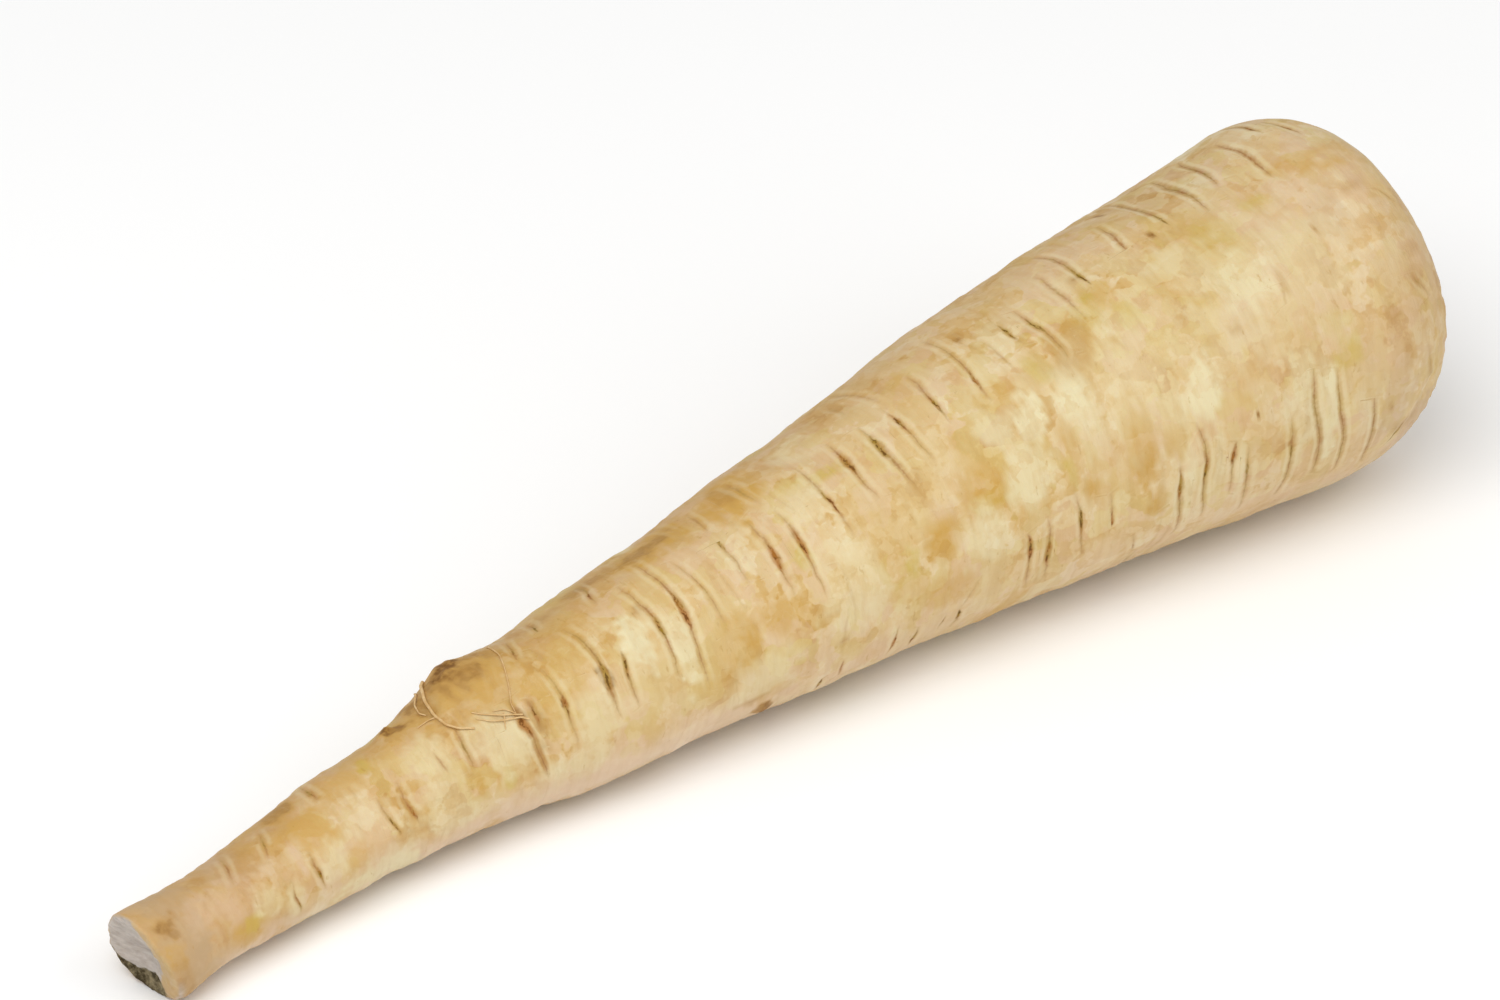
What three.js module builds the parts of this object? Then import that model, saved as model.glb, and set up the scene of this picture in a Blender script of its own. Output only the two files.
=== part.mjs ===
// A parsnip lying on its side: a long tapering root with a rounded shoulder, a sunken crown that
// holds the trimmed leaf-stalk bases, a tip cut a little askew, and shallow cross creases in the skin.
// It grew as one piece, so it is one closed solid: rings of points about a gently bowed centre line.
// Millimetres. X runs along the root from the cut tip to the crown and Z is up.
// A clock angle goes round a ring: 0 points along +Y, 90 up and 270 down.
import * as THREE from 'three';

// Sizes of the whole root
const LENGTH = 242; // from the tip's cut face to the rim round the crown
const SHOULDER_FROM = 228; // distance from the tip at which the flank starts to round over
const RIM_RADIUS = 18; // of the rim round the sunken crown
const BEDDING = 0.9; // how much of the underside is pressed flat where the root rests
const MIDDLE = { x: 120.3, y: 0.2 }; // the frame's origin, from the tip and from the straight centre line

// The flank. Columns: distance from the tip, radius, sideways bow towards +Y, rise of the underside.
const STATIONS = [
  [0, 7.6, 0.2, 0.5],
  [15, 7.6, 1.3, 0.9],
  [35, 8.7, 3.0, 1.3],
  [55, 10.4, 4.2, 1.6],
  [75, 13.1, 4.0, 1.5],
  [95, 14.9, 3.6, 1.3],
  [115, 17.0, 3.6, 1.0],
  [140, 20.0, 3.3, 0.8],
  [165, 23.0, 3.0, 0.5],
  [190, 25.8, 1.6, 0.2],
  [210, 27.8, 0.4, 0],
  [SHOULDER_FROM, 29.3, 0.2, 0],
];

// Swells and hollows. Columns: distance from the tip, clock angle, height, length, spread in degrees.
const SWELLS = [
  [65, 72, 1.9, 6, 38], // the knob that a side root left
  [52, 52, -0.8, 8, 40], // the hollows before and beyond the knob
  [80, 66, -1.2, 7, 45],
  [37, 52, 0.6, 5, 35],
  [18, 230, -0.7, 11, 50],
  [83, 216, 0.9, 8, 40],
  [119, 50, 0.5, 10, 45],
  [211, 52, -0.6, 12, 45],
  [220, 232, 0.8, 9, 40],
];

// Slow waves that keep the section from being a true circle.
// Columns: height as a share of the radius, wavelength along the root, lobes round it, phase.
const WAVES = [
  [0.012, 96, 2, 0.4],
  [0.009, 61, 3, 2.1],
  [0.006, 37, 4, 4.0],
];

// Cross creases. Columns: distance from the tip, clock angles of the two ends, depth.
const CREASES = [
  [24, 130, 182, 0.45],
  [30, 128, 175, 0.45],
  [44, 124, 162, 0.45],
  [60, 106, 146, 0.5],
  [69, 112, 178, 0.65],
  [75, 84, 163, 0.5],
  [83, 88, 164, 0.75],
  [94, 88, 158, 0.65],
  [98, 74, 163, 0.75],
  [112, 60, 128, 0.5],
  [117, 96, 152, 0.65],
  [121, 117, 158, 0.6],
  [129, 86, 138, 0.65],
  [129, 198, 212, 0.5],
  [135, 92, 122, 0.6],
  [135, 195, 213, 0.6],
  [141, 88, 136, 0.65],
  [146, 92, 124, 0.6],
  [146, 196, 212, 0.55],
  [153, 86, 124, 0.65],
  [160, 69, 117, 0.65],
  [160, 165, 210, 0.7],
  [166, 88, 112, 0.5],
  [166, 168, 191, 0.65],
  [172, 87, 108, 0.55],
  [172, 178, 196, 0.5],
  [180, 77, 116, 0.5],
  [184.5, 67, 94, 0.65],
  [184.5, 168, 195, 0.6],
  [189, 161, 197, 0.65],
  [194, 70, 96, 0.55],
  [194, 171, 208, 0.6],
  [202, 58, 91, 0.6],
  [206, 169, 219, 0.6],
  [210, 58, 91, 0.6],
  [210, 163, 201, 0.6],
  [214, 60, 86, 0.6],
  [214, 166, 210, 0.6],
  [221.5, 66, 92, 0.65],
  [221.5, 179, 212, 0.5],
];
const CREASE_HALF_WIDTH = 1.3;
const CREASE_TAPER = 12; // degrees over which a crease runs out at each end

// The side that lies away gets a crease at every station too, stepped round by the golden angle.
const HIDDEN_FROM = 222; // clock angle where the hidden side starts
const HIDDEN_SWEEP = 186;
const HIDDEN_LENGTHS = [26, 44, 34, 52]; // degrees, taken in turn
const HIDDEN_DEPTH = 0.55;
const GOLDEN_ANGLE = 137.5;

// The flat that the root rests on stays free of creases.
const UNDERSIDE = { from: 178, to: 232, clock: 270, spread: 24 };

// The tip is cut askew: the plane meets the centre line at middle, and the upper side is the longer.
const CUT = { middle: 0.3, slant: 4.2, longSide: 82, fade: 18 };

// Cut face, from its edge to its middle. Columns: share of the tip's radius, depth below the cut plane.
const CUT_FACE = [
  [0.97, 0.15],
  [0.88, 0],
  [0.68, 0.3],
  [0.46, 0.6],
  [0.3, 1.2],
  [0.14, 1.9],
];
const CUT_FACE_CENTRE = 2.1;

// Crown, from the rim inwards: a moat, then two tiers of leaf-stalk bases round a trimmed stub.
// Columns: radius, distance below the rim, height of the leaf-base scallops there.
const CROWN = [
  [16.6, 0.2, 0],
  [15.2, 1.1, 0],
  [13.9, 2.6, 0],
  [12.7, 3.9, 0.1],
  [11.5, 4.3, 0.3],
  [10.4, 3.2, 0.6],
  [9.3, 2.6, 0.6],
  [8.2, 3.1, 0.2],
  [7.3, 1.9, 0.5],
  [6.3, 1.0, 0.6],
  [4.9, 0.9, 0.3],
  [3.3, 1.3, 0.1],
  [1.6, 1.5, 0],
];
const CROWN_CENTRE = 1.6;
const LEAF_BASES = { outer: 8, inner: 5 };
const RIM_WAVE = 0.5; // rise and fall of the rim round the crown

// Fineness of the surface
const SIDES = 40;
const PLAIN_SPACING = 4.6; // widest gap between rings where the skin has no crease
const SHOULDER_RINGS = 8;

const radians = THREE.MathUtils.degToRad;
const smoothstep = THREE.MathUtils.smoothstep;

const flank = new THREE.CubicInterpolant(
  STATIONS.map((row) => row[0]),
  STATIONS.flatMap((row) => row.slice(1)),
  3,
);

// Degrees between two clock angles.
function clockGap(a, b) {
  return Math.abs(THREE.MathUtils.euclideanModulo(a - b + 180, 360) - 180);
}

function hiddenCreases() {
  const stations = [...new Set(CREASES.map((row) => row[0]))];
  return stations.map((at, turn) => {
    const middle = HIDDEN_FROM + ((turn * GOLDEN_ANGLE) % HIDDEN_SWEEP);
    const half = HIDDEN_LENGTHS[turn % HIDDEN_LENGTHS.length] / 2;
    return [at, middle - half, middle + half, HIDDEN_DEPTH];
  });
}

const allCreases = [...CREASES, ...hiddenCreases()];

// Share of a crease's depth left at a clock angle: full in the middle, nothing past the ends.
function alongCrease(clock, from, to) {
  const inside = (to - from) / 2 - clockGap(clock, (from + to) / 2);
  return smoothstep(inside, 0, CREASE_TAPER);
}

function creaseDepth(s, clock) {
  const onTheFlat =
    s > UNDERSIDE.from && s < UNDERSIDE.to && clockGap(clock, UNDERSIDE.clock) < UNDERSIDE.spread;
  if (onTheFlat) return 0;
  let deepest = 0;
  for (const [at, from, to, depth] of allCreases) {
    const across = 1 - Math.abs(s - at) / CREASE_HALF_WIDTH;
    if (across > 0) deepest = Math.max(deepest, depth * across * alongCrease(clock, from, to));
  }
  return deepest;
}

function swellHeight(s, clock) {
  let height = 0;
  for (const [at, middle, rise, length, spread] of SWELLS) {
    const along = (s - at) / length;
    const round = clockGap(clock, middle) / spread;
    height += rise * Math.exp(-along * along - round * round);
  }
  return height;
}

function waveShare(s, clock) {
  let share = 0;
  for (const [rise, wavelength, lobes, phase] of WAVES) {
    const along = Math.sin((2 * Math.PI * s) / wavelength + phase);
    share += rise * along * Math.cos(lobes * radians(clock) + phase);
  }
  return share;
}

// The askew cut moves the rings near the tip along the root, less and less with distance.
function cutShift(s, clock, radiusShare) {
  const fade = Math.max(0, 1 - s / CUT.fade) ** 2;
  const lean = (CUT.slant / 2) * radiusShare * Math.cos(radians(clock - CUT.longSide));
  return (CUT.middle - lean) * fade;
}

// Creases wander a little, so each ring leans and waves by up to a millimetre.
function ringLean(s, clock) {
  const fade = smoothstep(s, 5, 25) * (1 - smoothstep(s, 215, 235));
  const turn = radians(clock);
  return fade * (0.7 * Math.sin(turn + s / 17) + 0.4 * Math.sin(2 * turn - s / 11));
}

function rimWave(clock) {
  const turn = radians(clock);
  return RIM_WAVE * (0.6 * Math.cos(2 * turn + 0.5) + 0.4 * Math.cos(3 * turn + 2));
}

// A point at a distance along X and a radius and clock angle about the centre line at s.
function placed(x, s, radius, clock) {
  const [base, bow, rise] = flank.evaluate(Math.min(s, SHOULDER_FROM));
  const turn = radians(clock);
  const z = base + rise + radius * Math.sin(turn) - BEDDING;
  return [x - MIDDLE.x, bow + radius * Math.cos(turn) - MIDDLE.y, Math.max(z, 0)];
}

function flankPoint(s, clock) {
  const [base] = flank.evaluate(s);
  const radius = base * (1 + waveShare(s, clock)) + swellHeight(s, clock) - creaseDepth(s, clock);
  return placed(s + cutShift(s, clock, 1) + ringLean(s, clock), s, radius, clock);
}

// turn goes from 0 where the flank ends to 1 at the rim, a quarter of an ellipse.
function shoulderPoint(turn, clock) {
  const angle = (turn * Math.PI) / 2;
  const depth = LENGTH - SHOULDER_FROM;
  const [base] = flank.evaluate(SHOULDER_FROM);
  const x = SHOULDER_FROM + depth * Math.sin(angle);
  const unevenness = base * waveShare(SHOULDER_FROM, clock) + swellHeight(x, clock);
  const radius = RIM_RADIUS + (base - RIM_RADIUS) * Math.cos(angle) + unevenness * (1 - turn);
  return placed(x + rimWave(clock) * smoothstep(turn, 0.3, 1), SHOULDER_FROM, radius, clock);
}

function crownPoint([radius, drop, scallop], clock) {
  const outer = radius > CROWN[8][0];
  const lobes = outer ? LEAF_BASES.outer : LEAF_BASES.inner;
  const lobe = Math.cos(lobes * radians(clock) + (outer ? 0.8 : 0));
  const nearRim = smoothstep(radius, CROWN[4][0], RIM_RADIUS);
  const x = LENGTH - drop + scallop * lobe + rimWave(clock) * nearRim;
  return placed(x, SHOULDER_FROM, radius * (1 + 0.05 * scallop * lobe), clock);
}

function cutFacePoint([share, depth], clock) {
  const [base] = flank.evaluate(0);
  const radius = share * base * (1 + waveShare(0, clock));
  return placed(depth + cutShift(0, clock, share), 0, radius, clock);
}

// Distances from the tip of the flank's rings: three at each crease, and plain ones between.
function ringDistances() {
  const creased = [...new Set(CREASES.map((row) => row[0]))].sort((a, b) => a - b);
  const fixed = creased.flatMap((at) => [at - CREASE_HALF_WIDTH, at, at + CREASE_HALF_WIDTH]);
  const distances = [0.5];
  for (const next of [...fixed, SHOULDER_FROM]) {
    const last = distances[distances.length - 1];
    const steps = Math.ceil((next - last) / PLAIN_SPACING);
    for (let step = 1; step <= steps; step += 1) {
      distances.push(last + ((next - last) * step) / steps);
    }
  }
  return distances;
}

const clocks = Array.from({ length: SIDES }, (unused, side) => 270 + ((side + 0.5) * 360) / SIDES);

function ringOf(point) {
  return clocks.map(point);
}

function allRings() {
  const face = CUT_FACE.map((row) => ringOf((clock) => cutFacePoint(row, clock))).reverse();
  const body = ringDistances().map((s) => ringOf((clock) => flankPoint(s, clock)));
  const shoulder = Array.from({ length: SHOULDER_RINGS }, (unused, step) =>
    ringOf((clock) => shoulderPoint((step + 1) / SHOULDER_RINGS, clock)),
  );
  const crown = CROWN.map((row) => ringOf((clock) => crownPoint(row, clock)));
  return [...face, ...body, ...shoulder, ...crown];
}

// Joins the rings into one closed surface with a point at each end.
function skin(rings, tipCentre, crownCentre) {
  const positions = [...rings.flat(), tipCentre, crownCentre].flat();
  const tip = rings.length * SIDES;
  const crown = tip + 1;
  const index = [];
  for (let side = 0; side < SIDES; side += 1) {
    const next = (side + 1) % SIDES;
    index.push(tip, next, side);
    for (let ring = 0; ring < rings.length - 1; ring += 1) {
      const low = ring * SIDES;
      const high = low + SIDES;
      index.push(low + side, low + next, high + side);
      index.push(low + next, high + next, high + side);
    }
    const last = (rings.length - 1) * SIDES;
    index.push(crown, last + side, last + next);
  }
  const geometry = new THREE.BufferGeometry();
  geometry.setAttribute('position', new THREE.Float32BufferAttribute(positions, 3));
  geometry.setIndex(index);
  geometry.computeVertexNormals();
  return geometry;
}

const skinMaterial = new THREE.MeshStandardMaterial({
  color: new THREE.Color().setRGB(0.89, 0.8, 0.61, THREE.SRGBColorSpace),
  roughness: 0.6,
  metalness: 0,
});

const tipCentre = placed(CUT_FACE_CENTRE + cutShift(0, 0, 0), 0, 0, 0);
const crownCentre = placed(LENGTH - CROWN_CENTRE, SHOULDER_FROM, 0, 0);
const root = new THREE.Mesh(skin(allRings(), tipCentre, crownCentre), skinMaterial);
root.name = 'parsnip_root';

const parsnip = new THREE.Group();
parsnip.add(root);

export default parsnip;
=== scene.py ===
"""A parsnip lying on its side: a long creased root with a sunken crown, a cut tip and fine rootlets."""

import math
import random

import bpy
import numpy as np
from mathutils import Euler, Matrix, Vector, noise


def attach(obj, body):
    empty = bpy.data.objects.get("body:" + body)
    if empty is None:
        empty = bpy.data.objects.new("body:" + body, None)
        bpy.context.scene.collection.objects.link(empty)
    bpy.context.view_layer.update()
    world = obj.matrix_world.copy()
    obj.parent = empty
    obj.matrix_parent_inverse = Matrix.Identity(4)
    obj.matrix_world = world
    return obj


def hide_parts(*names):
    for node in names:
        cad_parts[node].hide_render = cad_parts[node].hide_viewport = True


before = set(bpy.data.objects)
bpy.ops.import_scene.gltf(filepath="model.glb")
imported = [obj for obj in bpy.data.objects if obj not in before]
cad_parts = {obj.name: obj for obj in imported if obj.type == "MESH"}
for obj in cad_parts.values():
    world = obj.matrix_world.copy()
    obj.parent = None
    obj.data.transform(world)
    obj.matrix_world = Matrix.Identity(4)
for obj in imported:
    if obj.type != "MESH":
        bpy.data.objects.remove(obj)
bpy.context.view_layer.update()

MM = 0.001

# Sizes of the root in millimetres. Distances run from the cut tip, clock angles go round the root:
# 0 points along +Y, 90 up, 180 towards the maker's side and 270 down.
LENGTH = 242
SHOULDER_FROM = 228
SHOULDER_DEPTH = LENGTH - SHOULDER_FROM
RIM_RADIUS = 18
BEDDING = 0.9
MIDDLE_X = 120.3
MIDDLE_Y = 0.2

# Distance from the tip, radius, sideways bow, rise of the underside
STATIONS = np.array([
    (0, 7.6, 0.2, 0.5),
    (15, 7.6, 1.3, 0.9),
    (35, 8.7, 3.0, 1.3),
    (55, 10.4, 4.2, 1.6),
    (75, 13.1, 4.0, 1.5),
    (95, 14.9, 3.6, 1.3),
    (115, 17.0, 3.6, 1.0),
    (140, 20.0, 3.3, 0.8),
    (165, 23.0, 3.0, 0.5),
    (190, 25.8, 1.6, 0.2),
    (210, 27.8, 0.4, 0),
    (SHOULDER_FROM, 29.3, 0.2, 0),
])
TIP_RADIUS = STATIONS[0, 1]
WIDEST = STATIONS[-1, 1]

# Distance, clock angle, height, length, spread in degrees
SWELLS = [
    (65, 72, 1.9, 6, 38),
    (52, 52, -0.8, 8, 40),
    (80, 66, -1.2, 7, 45),
    (37, 52, 0.6, 5, 35),
    (18, 230, -0.7, 11, 50),
    (83, 216, 0.9, 8, 40),
    (119, 50, 0.5, 10, 45),
    (211, 52, -0.6, 12, 45),
    (220, 232, 0.8, 9, 40),
]

# Height as a share of the radius, wavelength along the root, lobes round it, phase
WAVES = [
    (0.012, 96, 2, 0.4),
    (0.009, 61, 3, 2.1),
    (0.006, 37, 4, 4.0),
]

# The askew cut at the tip, and its face: share of the tip's radius, depth below the cut plane
CUT_MIDDLE = 0.3
CUT_SLANT = 4.2
CUT_LONG_SIDE = 82
CUT_FADE = 18
CUT_FACE = [(0, 2.1), (0.14, 1.9), (0.3, 1.2), (0.46, 0.6), (0.68, 0.3), (0.88, 0), (0.97, 0.15)]

# Crown, from its middle out to the rim: radius, distance below the rim, height of the scallops
CROWN = [
    (0, 1.6, 0),
    (1.6, 1.5, 0),
    (3.3, 1.3, 0.1),
    (4.9, 0.9, 0.3),
    (6.3, 1.0, 0.6),
    (7.3, 1.9, 0.5),
    (8.2, 3.1, 0.2),
    (9.3, 2.6, 0.6),
    (10.4, 3.2, 0.6),
    (11.5, 4.3, 0.3),
    (12.7, 3.9, 0.1),
    (13.9, 2.6, 0),
    (15.2, 1.1, 0),
    (16.6, 0.2, 0),
    (RIM_RADIUS, 0, 0),
]
TIER_EDGE = 8.2
OUTER_BASES = 8
INNER_BASES = 5
RIM_WAVE = 0.5

# Cross creases on the side that shows: distance at each end, clock angle of each end, strength,
# and the clock angle and strength of the torn, dirty stretch.
CREASES = [
    (229, 227, 48, 77, 1.1, 68, 0.6),
    (231, 231, 66, 88, 0.9, 80, 0.5),
    (222.5, 221.2, 62, 97, 1.2, 84, 0.4),
    (218, 213.3, 52, 87, 1.3, 72, 0.45),
    (212, 208.6, 50, 95, 1.3, 74, 0.45),
    (205, 202, 46, 92, 1.2, 86, 0.5),
    (195.5, 193.5, 68, 93, 1.0, 87, 0.4),
    (185, 184, 62, 97, 1.1, 90, 0.9),
    (183.2, 182.8, 66, 78, 0.4, 72, 0.6),
    (180, 179.5, 74, 110, 0.7, 92, 0.2),
    (173, 173.3, 84, 120, 0.9, 98, 0.6),
    (169, 169.2, 87, 104, 0.6, 94, 0.9),
    (184, 184, 137, 149, 0.35, 143, 0.1),
    (183.3, 185.4, 168, 210, 1.1, 182, 1.1),
    (188.3, 189.3, 159, 205, 1.2, 180, 0.9),
    (194, 194.5, 170, 199, 0.7, 179, 0.7),
    (196.5, 198, 175, 212, 0.8, 188, 0.4),
    (205.2, 204.8, 172, 213, 1.0, 187, 0.5),
    (209, 210.4, 157, 206, 1.3, 178, 0.2),
    (213, 215.4, 162, 210, 1.3, 182, 0.2),
    (220, 221.6, 177, 213, 1.1, 190, 0.2),
    (156.5, 158.4, 171, 207, 0.9, 182, 1.4),
    (160.5, 161.2, 169, 206, 0.9, 189, 1.3),
    (166.4, 167.4, 165, 200, 0.8, 180, 1.2),
    (172, 172.5, 170, 198, 0.6, 187, 0.9),
    (176.6, 179, 194, 217, 0.5, 206, 0.3),
    (160.2, 159, 66, 119, 0.8, 104, 0.6),
    (165, 165, 89, 117, 0.6, 104, 0.2),
    (152.6, 152, 81, 118, 0.8, 104, 0.7),
    (145.6, 146.4, 45, 92, 0.5, 60, 0.1),
    (145.5, 146, 89, 127, 0.8, 101, 0.7),
    (140.4, 140.9, 87, 134, 1.0, 106, 1.3),
    (142.5, 141.3, 58, 80, 0.5, 70, 0.1),
    (135.4, 135.4, 84, 128, 0.9, 103, 1.3),
    (128.5, 129, 82, 139, 0.8, 116, 0.8),
    (121, 121.4, 102, 158, 0.9, 127, 1.0),
    (119.4, 120.4, 64, 97, 0.6, 82, 0.2),
    (116.4, 116.4, 94, 151, 0.8, 125, 1.2),
    (112, 111.3, 64, 93, 0.6, 80, 0.2),
    (111, 111, 97, 132, 0.7, 102, 0.5),
    (149, 143.5, 181, 208, 0.4, 195, 0.1),
    (145.3, 145.3, 199, 218, 0.6, 204, 0.7),
    (142.5, 142.5, 200, 214, 0.5, 206, 0.4),
    (137.5, 137.5, 197, 217, 0.6, 208, 0.7),
    (133.3, 133, 190, 214, 0.7, 203, 0.8),
    (124, 124, 196, 213, 0.6, 204, 0.5),
    (120.5, 120.5, 204, 221, 0.5, 211, 0.7),
    (102.8, 103.8, 91, 147, 0.7, 118, 0.2),
    (98.8, 99, 71, 176, 1.0, 123, 1.3),
    (93.8, 94.8, 84, 164, 1.0, 124, 0.8),
    (87, 87, 122, 166, 0.8, 137, 0.8),
    (91.5, 89.4, 52, 91, 0.7, 76, 0.5),
    (83, 83.8, 87, 169, 1.0, 136, 1.0),
    (82, 80.3, 48, 79, 0.6, 70, 0.5),
    (75, 76, 103, 176, 0.7, 140, 0.7),
    (76, 73, 62, 100, 0.7, 84, 0.4),
    (67.9, 70.2, 114, 187, 1.3, 138, 1.0),
    (70.2, 70.8, 121, 151, 0.6, 135, 0.6),
    (59.4, 59, 107, 151, 0.9, 128, 0.3),
    (54, 55, 116, 141, 0.6, 128, 0.2),
    (47, 47.5, 118, 167, 0.7, 153, 0.6),
    (43, 44, 121, 168, 0.7, 155, 0.6),
    (36.5, 35.4, 44, 93, 0.7, 75, 0.4),
    (29, 30, 126, 181, 0.8, 158, 0.65),
    (24, 25, 142, 191, 0.8, 174, 0.55),
    (25, 23, 66, 116, 0.7, 97, 0.35),
    (18, 16, 62, 117, 0.6, 93, 0.3),
    (229, 225, 196, 210, 0.5, 203, 0.8),
    (232, 232.6, 169, 188, 0.45, 178, 0.1),
    (231, 234.5, 146, 158, 0.6, 150, 0.2),
    (232.5, 236.5, 114, 125, 0.4, 120, 0.2),
    (209, 208.5, 127, 139, 0.4, 133, 0.1),
]

# Creases on the side that lies away are drawn at random with a fixed seed, and so are the faint ones.
AWAY_SEED = 11
AWAY_CREASES = 74
AWAY_FROM = 216
AWAY_SWEEP = 196
AWAY_MARGIN = 14
AWAY_START = 12
AWAY_END = 226
FAINT_SEED = 23
FAINT_CREASES = 230

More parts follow.
